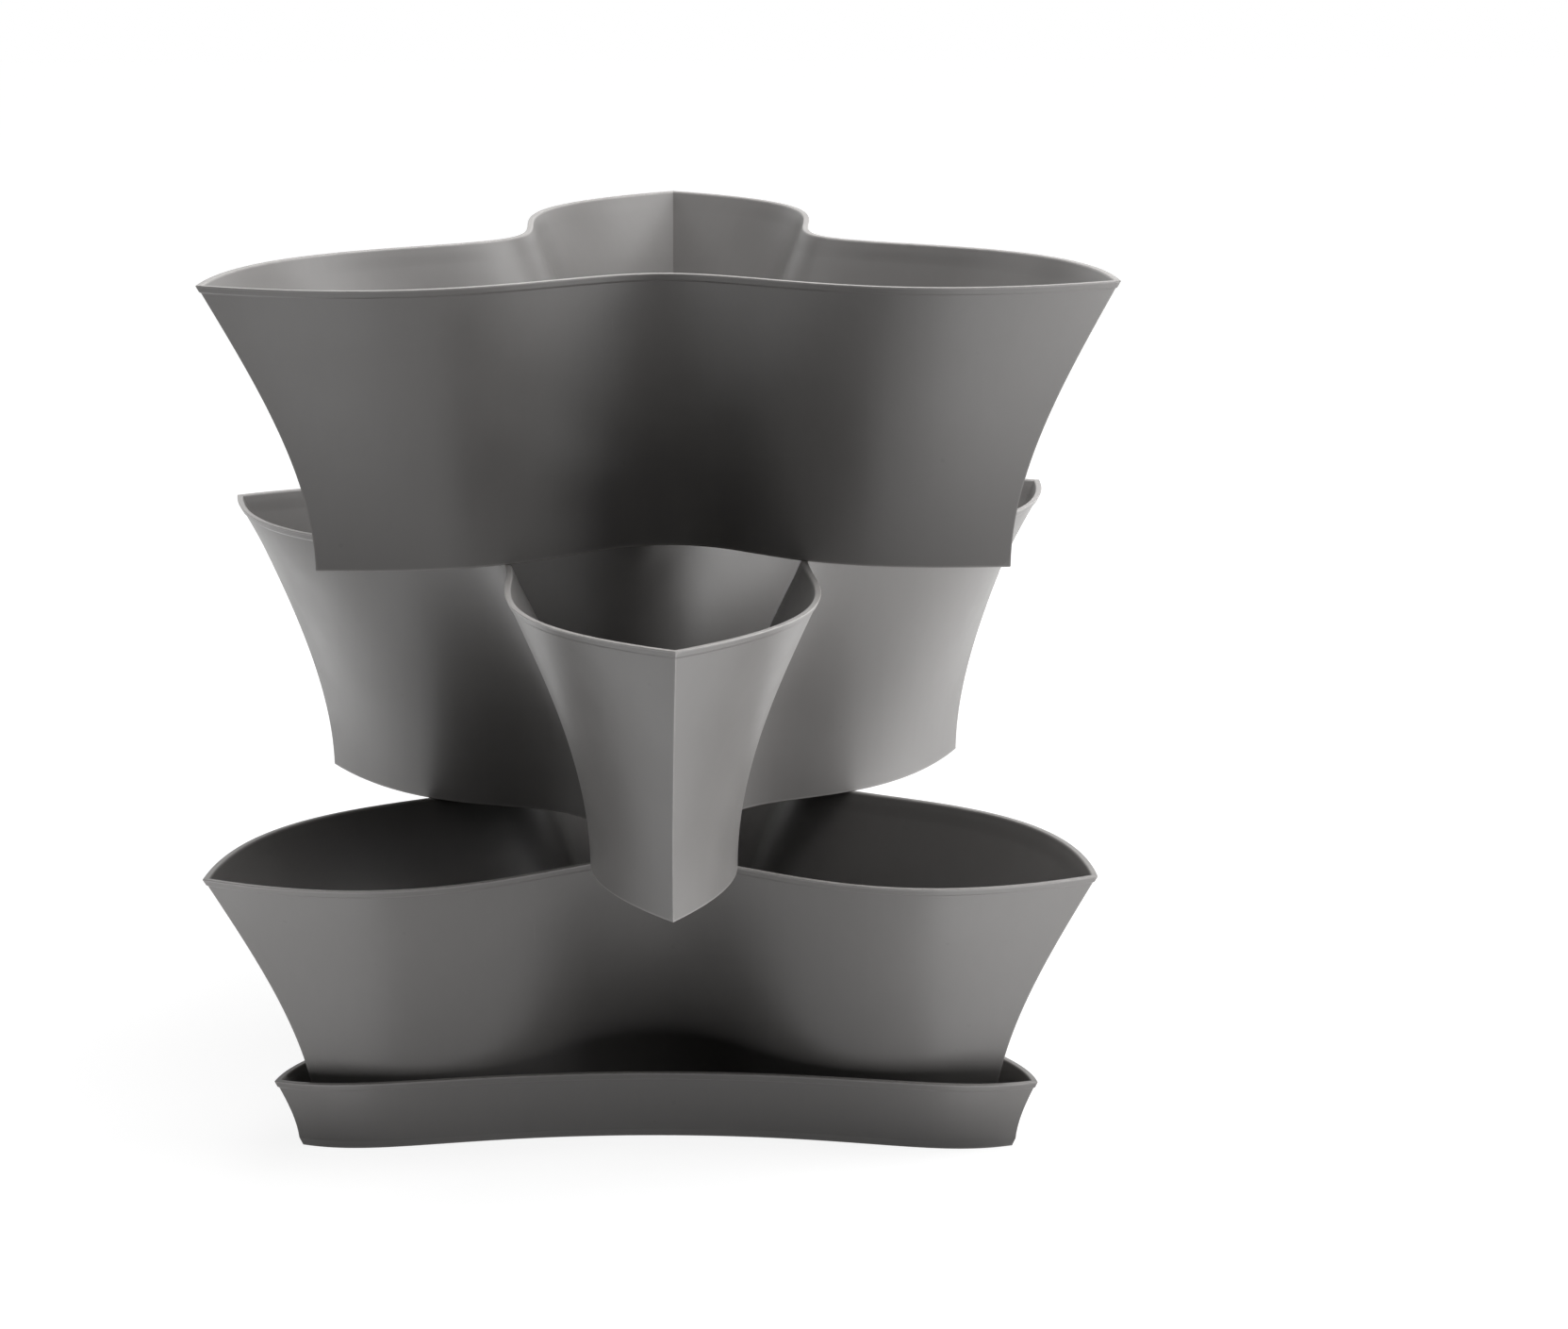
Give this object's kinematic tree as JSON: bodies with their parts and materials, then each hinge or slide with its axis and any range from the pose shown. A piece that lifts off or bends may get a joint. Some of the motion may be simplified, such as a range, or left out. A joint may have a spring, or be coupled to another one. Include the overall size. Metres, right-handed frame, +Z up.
{
  "type": "stacking planter tower",
  "caption": "Vertical planter tower of open trefoil pots that rest on each other's rims, each turned half a lobe from the one below, on a matching shallow saucer.",
  "frame": {"origin": "on the ground, at the centre of the flat pad under the saucer", "axes": "+Z up; +Y to the back along one lobe of the saucer; +X to the right as the picture sees it"},
  "size_m": [0.4122, 0.4671, 0.3937],
  "materials": {
    "grey_plastic": "satin moulded plastic, faint grain"
  },
  "bodies": {
    "saucer": {"saucer_floor": "grey_plastic", "saucer_wall": "grey_plastic"},
    "lower_pot": {"lower_pot": "grey_plastic"},
    "middle_pot": {"middle_pot": "grey_plastic"},
    "upper_pot": {"upper_pot": "grey_plastic"}
  },
  "joints": [
    {"name": "lower_pot_lift", "type": "slide", "parent": "saucer", "child": "lower_pot", "axis": [0, 0, 1], "range_m": [0, 0.15]},
    {"name": "middle_pot_lift", "type": "slide", "parent": "lower_pot", "child": "middle_pot", "axis": [0, 0, 1], "range_m": [0, 0.15]},
    {"name": "upper_pot_lift", "type": "slide", "parent": "middle_pot", "child": "upper_pot", "axis": [0, 0, 1], "range_m": [0, 0.15]}
  ]
}
